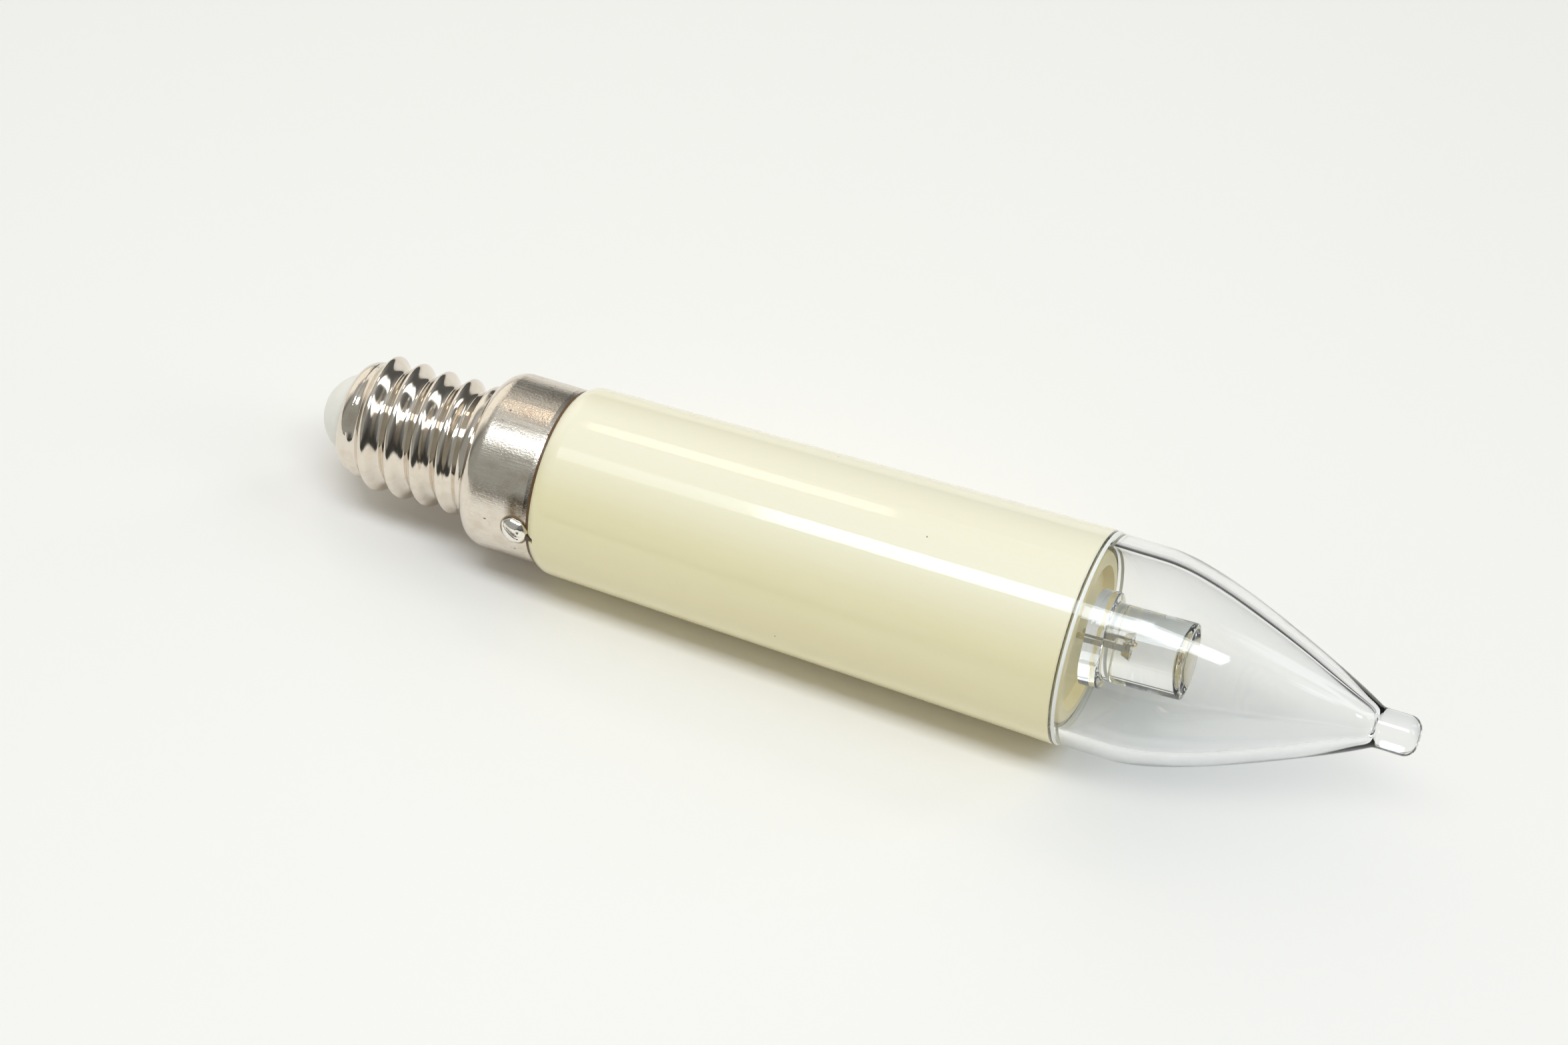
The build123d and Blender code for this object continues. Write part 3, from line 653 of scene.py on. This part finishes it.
paths = tree.nodes.new("ShaderNodeLightPath")
away = distance_from(tree)
in_front = tree.nodes.new("ShaderNodeVectorMath")
in_front.operation = "DOT_PRODUCT"
in_front.inputs[1].default_value = mirrored_way
tree.links.new(place(tree), in_front.inputs[0])
seen_far = times(tree, paths.outputs["Is Camera Ray"], remap(tree, away, background_from))
through = paths.outputs["Is Transmission Ray"]
mirrored = arithmetic(tree, "SUBTRACT", 1.0, through)
dimness = arithmetic(tree, "ADD", times(tree, through, remap(tree, away, dim_through_from)),
                     times(tree, mirrored, remap(tree, in_front.outputs["Value"], dim_mirrored_from)))
dimmed = times(tree, paths.outputs["Is Glossy Ray"], dimness)

surface = painted.outputs["BSDF"]
for share, cover_over in ((seen_far, own_light.outputs["Emission"]), (dimmed, dim_table.outputs["BSDF"])):
    mix = tree.nodes.new("ShaderNodeMixShader")
    tree.links.new(share, mix.inputs["Fac"])
    tree.links.new(surface, mix.inputs[1])
    tree.links.new(cover_over, mix.inputs[2])
    surface = mix.outputs["Shader"]
tree.links.new(surface, tree.nodes["Material Output"].inputs["Surface"])
floor_mesh.materials.append(table_top)

# Light: a long soft lamp above, a dimmer one in line with it, and a small warm lamp behind the bulb.
# The room's walls are dim, with two windows towards the flame's end and a pale wall at the cap's end.
strip_tilt = radians(104)
strip_distance = 0.6
strip_width = 0.15
strip_ends = (-0.168, 0.42)
dim_ends = (-0.34, -0.168)
strip_radiance = 7.4
dim_radiance = 1.6
strip_white = (0.93, 1.0, 1.06)
warm_at = (-0.0386, 0.087, 0.1664)
warm_length, warm_width = 0.046, 0.027
warm_radiance = 3.6
warm_white = (1.0, 0.80, 0.60)
wall_stops = [(0.0, 0.10), (0.30, 0.12), (0.60, 0.22), (0.80, 0.42), (0.92, 0.55), (1.0, 0.60)]
wall_red = 0.97
near_floor_edge = (0.05, 0.09)
black_wall = (0.05, 0.05, 0.05, 1)
dark_wall = (0.10, 0.10, 0.10, 1)
grey_wall = (0.34, 0.35, 0.33, 1)
pale_wall = (1.10, 1.07, 0.98, 1)
window = (2.3, 2.45, 2.5, 1)
wall_to_ceiling = (-1, -0.9, 0.86, 0.95)
patches = [(grey_wall, (180, 200, 271, 280), wall_to_ceiling),
           (grey_wall, (-100, -91, -75, -68), wall_to_ceiling),
           (pale_wall, (112, 122, 165, 185), (0.0, 0.03, 0.64, 0.76)),
           (black_wall, (-100, -91, -20, -8), (-1, -0.9, 0.14, 0.28)),
           (dark_wall, (250, 262, 271, 280), (-1, -0.9, 0.12, 0.26)),
           (window, (34, 37, 46, 50), (0.16, 0.24, 0.76, 0.84)),
           (window, (-6, -3, 10, 14), (0.24, 0.31, 0.76, 0.82))]


def lamp(name, place_at, aim_at, length, width, radiance, colour):
    """An area lamp with the same radiance over its face: its power is pi times radiance and area."""
    data = bpy.data.lights.new(name, "AREA")
    data.shape = "RECTANGLE"
    data.size, data.size_y = length, width
    data.energy = np.pi * radiance * length * width
    data.color = colour
    back = (Vector(place_at) - Vector(aim_at)).normalized()
    side = Vector((1, 0, 0)) - back * back.x
    side.normalize()
    facing = Matrix((side, back.cross(side), back)).transposed()
    add_object(name, data).matrix_world = Matrix.Translation(place_at) @ facing.to_4x4()


def above(x, distance, tilt):
    """The point at that distance from the bulb's axis, in the direction tilt about it, from +Y."""
    return (x, distance * cos(tilt), distance * sin(tilt))


def azimuth_of(tree, split):
    """The direction's angle about Z in degrees, 0 for +X and 90 for +Y: 90 plus 180/pi times the angle
    whose tangent is -X over Y. It runs from -90 to 270, so its seam is at -Y."""
    angle = arithmetic(tree, "ARCTAN2", times(tree, split.outputs["X"], -1.0), split.outputs["Y"])
    return arithmetic(tree, "ADD", times(tree, angle, 180 / np.pi), 90.0)


def patch(tree, wall, colour, edges_of):
    """A soft-edged patch of colour on the walls. Each value comes with four numbers: where the patch's
    near edge starts and is full, and where its far edge is still full and ends. The patch's share is the
    product of what its edges give."""
    share = 1.0
    for value, edges in edges_of:
        for edge in (edges[:2], edges[:1:-1]):
            share = times(tree, share, remap(tree, value, edge))
    return mix_colour(tree, share, wall, colour)


for name, ends, radiance in (("long lamp", strip_ends, strip_radiance),
                             ("dim lamp", dim_ends, dim_radiance)):
    middle = sum(ends) / 2
    lamp(name, above(middle, strip_distance, strip_tilt), (middle, 0, 0), ends[1] - ends[0], strip_width,
         radiance, strip_white)
lamp("warm lamp", warm_at, (0, 0, 0), warm_length, warm_width, warm_radiance, warm_white)

world = bpy.data.worlds.new("studio")
bpy.context.scene.world = world
world.use_nodes = True
tree = world.node_tree
paths = tree.nodes.new("ShaderNodeLightPath")
direction = tree.nodes.new("ShaderNodeTexCoord")
split = tree.nodes.new("ShaderNodeSeparateXYZ")
tree.links.new(direction.outputs["Generated"], split.inputs["Vector"])
walls = tree.nodes.new("ShaderNodeValToRGB")
while len(walls.color_ramp.elements) < len(wall_stops):
    walls.color_ramp.elements.new(0.5)
for element, (rise, grey) in zip(walls.color_ramp.elements, wall_stops):
    element.position = rise
    element.color = (wall_red * grey, grey, grey, 1)
tree.links.new(split.outputs["Z"], walls.inputs["Fac"])
room = walls.outputs["Color"]
azimuth = azimuth_of(tree, split)
for colour, azimuths, rises in patches:
    room = patch(tree, room, colour, ((azimuth, azimuths), (split.outputs["Z"], rises)))
near_floor = times(tree, remap(tree, split.outputs["Z"], near_floor_edge, falling),
                   paths.outputs["Is Transmission Ray"])
room = mix_colour(tree, near_floor, room, background)
seen_room = mix_colour(tree, paths.outputs["Is Camera Ray"], room, background)
tree.links.new(seen_room, tree.nodes["Background"].inputs["Color"])

# Camera: a long lens that looks down on the bulb from beyond the flame's end, a little off its side,
# and close enough that the bulb fills the frame.
look_at = Vector((23.18, 1.61, 1.33)) * mm
view_distance = 0.393
view_azimuth = radians(22.68)
view_elevation = radians(46.86)
focal_length = 91.84
sensor_width = 36.0

camera_data = bpy.data.cameras.new("camera")
camera_data.lens = focal_length
camera_data.sensor_width = sensor_width
camera_data.clip_start = 0.01
camera = add_object("camera", camera_data)
back = Vector((sin(view_azimuth) * cos(view_elevation), -cos(view_azimuth) * cos(view_elevation),
               sin(view_elevation)))
right = Vector((cos(view_azimuth), sin(view_azimuth), 0))
facing = Matrix((right, back.cross(right), back)).transposed()
camera.matrix_world = Matrix.Translation(look_at + back * view_distance) @ facing.to_4x4()
bpy.context.scene.camera = camera
bpy.context.scene.view_settings.view_transform = "Standard"
